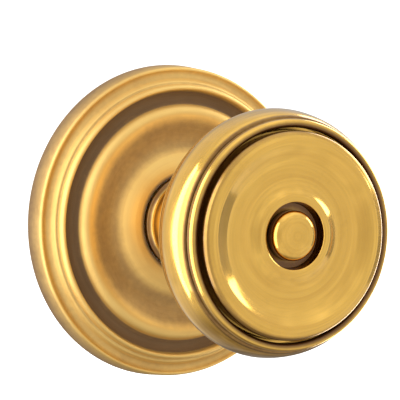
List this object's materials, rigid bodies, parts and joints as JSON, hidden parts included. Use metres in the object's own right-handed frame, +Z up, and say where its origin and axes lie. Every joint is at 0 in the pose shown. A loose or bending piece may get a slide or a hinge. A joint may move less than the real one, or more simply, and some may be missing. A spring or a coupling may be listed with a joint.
{
  "type": "door knob",
  "caption": "Round hollow door knob with a dished face and centre boss on a stepped round rose, with its sprung mounting plate, threaded posts and square spindle.",
  "frame": {"origin": "centre of the back of the rose, on the face of the door", "axes": "+Z up, the knob's turning axis along Y: the knob points to -Y and the spindle runs into the door along +Y"},
  "size_m": [0.0666, 0.102, 0.0666],
  "materials": {
    "satin_brass": "satin, aged darker in the recesses",
    "polished_brass": "polished, aged brown in the grooves",
    "plated_steel": "zinc plated",
    "bright_steel": "bright drawn",
    "spring_steel": "oiled, tempered",
    "cast_zinc": "as cast",
    "nylon": "moulded"
  },
  "bodies": {
    "rose_assembly": {"rose": "satin_brass", "rose_bush": "nylon", "mounting_plate": "plated_steel", "bearing_bush": "nylon", "post_left": "plated_steel", "post_right": "plated_steel", "spur_left": "bright_steel", "spur_right": "bright_steel", "rose_clip_1": "spring_steel", "rose_clip_2": "spring_steel", "rose_clip_3": "spring_steel", "clip_rivet_1": "bright_steel", "clip_rivet_2": "bright_steel", "clip_rivet_3": "bright_steel", "spring_housing": "plated_steel", "housing_rivet_1": "bright_steel", "housing_rivet_2": "bright_steel", "housing_rivet_3": "bright_steel", "housing_rivet_4": "bright_steel", "return_spring": "spring_steel"},
    "knob": {"knob_back_shell": "polished_brass", "rim_ring": "polished_brass", "knob_face": "polished_brass", "centre_boss": "polished_brass", "knob_core": "cast_zinc", "grub_screw": "spring_steel", "spindle": "bright_steel", "hub": "bright_steel", "thrust_washer": "bright_steel", "circlip": "spring_steel"}
  },
  "joints": [
    {"name": "knob_turn", "type": "hinge", "parent": "rose_assembly", "child": "knob", "pos_m": [0, 0, 0], "axis": [0, 1, 0], "range_deg": [-60, 60], "stiffness_Nm_per_rad": 0.45, "deforming": ["return_spring"]}
  ]
}
